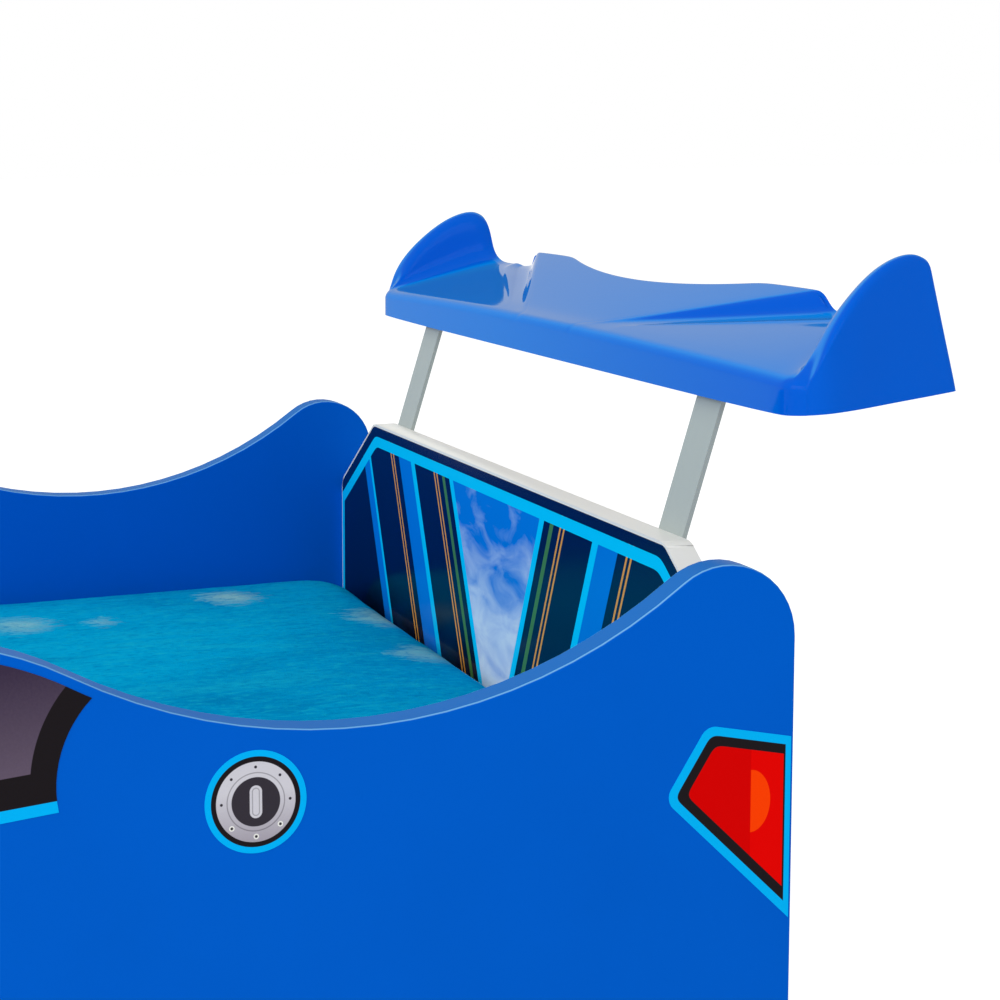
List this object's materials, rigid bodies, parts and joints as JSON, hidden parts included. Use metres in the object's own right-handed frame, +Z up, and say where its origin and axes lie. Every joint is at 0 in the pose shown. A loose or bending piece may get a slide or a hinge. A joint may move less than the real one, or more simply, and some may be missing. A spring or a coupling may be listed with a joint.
{
  "type": "childrens_car_bed",
  "caption": "Child's bed shaped like a car: wavy blue side panels, white end boards, turquoise mattress on slats, printed lamps and wheels, blue rear spoiler on flat bars.",
  "frame": {"origin": "the middle of the bed's footprint on the floor, under its overall box", "axes": "+Y along the bed to the tail with the spoiler, +X to the car's left side, +Z up"},
  "size_m": [0.7806, 1.592, 0.67],
  "materials": {
    "blue_board": "18 mm board, laminated in a satin blue, edges banded in a paler blue",
    "white_board": "18 mm board, laminated in a satin white",
    "plain_wood": "planed pine, bare",
    "bright_steel": "zinc-plated steel",
    "cast_zinc": "die-cast zinc alloy, grey",
    "grey_plastic": "moulded plastic, fine texture",
    "black_board": "12 mm board, painted satin black",
    "printed_film": "printed self-adhesive film, 0.3 mm, satin",
    "blue_plastic": "vacuum-formed plastic, 3 mm, glossy blue",
    "grey_painted_steel": "steel flat bar, light grey powder coat",
    "foam": "foam mattress in a knitted ticking",
    "turquoise_cotton": "knitted cotton fitted sheet, turquoise with pale blotches"
  },
  "bodies": {
    "bed_frame": {"bar_insert_nuts": "bright_steel", "bar_screws": "bright_steel", "bed_slats": "plain_wood", "cam_bolts": "bright_steel", "cam_caps": "grey_plastic", "cam_locks": "cast_zinc", "core_screws": "bright_steel", "floor_glides": "grey_plastic", "fuel_cap_print_left": "printed_film", "fuel_cap_print_right": "printed_film", "headlight_print_left": "printed_film", "headlight_print_right": "printed_film", "nose_board": "white_board", "nose_print": "printed_film", "rail_screws": "bright_steel", "side_panel_left": "blue_board", "side_panel_right": "blue_board", "slat_rail_left": "plain_wood", "slat_rail_right": "plain_wood", "slat_screws": "bright_steel", "spoiler_bar_left": "grey_painted_steel", "spoiler_bar_right": "grey_painted_steel", "spoiler_core": "plain_wood", "spoiler_shell": "blue_plastic", "tail_board": "white_board", "tail_board_print": "printed_film", "tail_light_print_left": "printed_film", "tail_light_print_right": "printed_film", "wheel_disc_front_left": "black_board", "wheel_disc_front_right": "black_board", "wheel_disc_rear_left": "black_board", "wheel_disc_rear_right": "black_board", "wheel_prints": "printed_film", "wheel_screws": "bright_steel", "window_print_left": "printed_film", "window_print_right": "printed_film", "wood_dowels": "plain_wood"},
    "bedding": {"mattress": "foam", "fitted_sheet": "turquoise_cotton"}
  },
  "joints": [
    {"name": "mattress_lift", "type": "slide", "parent": "bed_frame", "child": "bedding", "axis": [0, 0, 1], "range_m": [0, 0.4]}
  ]
}
